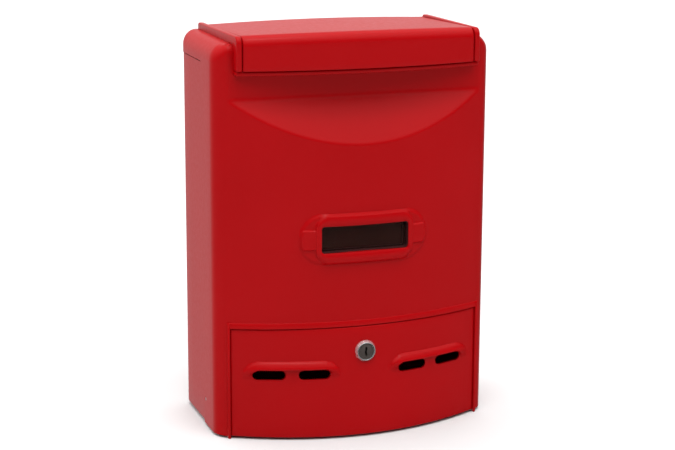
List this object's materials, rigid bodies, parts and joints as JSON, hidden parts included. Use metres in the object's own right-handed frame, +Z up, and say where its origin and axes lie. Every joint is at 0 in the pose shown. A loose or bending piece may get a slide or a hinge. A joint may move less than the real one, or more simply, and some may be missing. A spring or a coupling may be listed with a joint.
{
  "type": "wall mailbox",
  "caption": "Wall mailbox with a bowed front, lift-up slot flap, name window, vented drop-down door and cam lock.",
  "frame": {"origin": "under the middle of the whole closed mailbox, at the height it stands on", "axes": "+X to the right seen from the front, +Y towards the wall behind it, +Z up"},
  "size_m": [0.285, 0.165, 0.401],
  "materials": {
    "red_plastic": "satin moulded, fine grain",
    "dark_plastic": "matt",
    "clear_pane": "clear, polished",
    "chrome": "bright plated",
    "lock_steel": "worn satin",
    "steel": "zinc plated",
    "brass": "plain",
    "rubber": "matt"
  },
  "bodies": {
    "housing": {"rear_shell": "red_plastic", "front_cover": "red_plastic", "flap_hinge_rod": "steel", "flap_buffers": "rubber", "window_pane": "clear_pane", "window_retainer": "dark_plastic", "window_screws": "steel", "door_hinge_pins": "steel", "door_buffers": "rubber", "catch_plate": "steel", "catch_screws": "steel", "side_screws": "steel", "bottom_screws": "steel"},
    "flap": {"flap": "red_plastic"},
    "door": {"door": "red_plastic", "lock_body": "chrome", "lock_washer": "steel", "lock_nut": "steel"},
    "lock": {"lock_plug": "lock_steel", "lock_wafers": "brass", "lock_cam": "steel", "lock_cam_washer": "steel", "lock_cam_nut": "steel"}
  },
  "joints": [
    {"name": "flap_hinge", "type": "hinge", "parent": "housing", "child": "flap", "pos_m": [0, 0.076, 0.3912], "axis": [-1, 0, 0], "range_deg": [0, 80]},
    {"name": "door_hinge", "type": "hinge", "parent": "housing", "child": "door", "pos_m": [0, -0.0415, 0.009], "axis": [1, 0, 0], "range_deg": [0, 90]},
    {"name": "lock_turn", "type": "hinge", "parent": "door", "child": "lock", "pos_m": [0, -0.0756, 0.087], "axis": [0, -1, 0], "range_deg": [0, 90]}
  ]
}
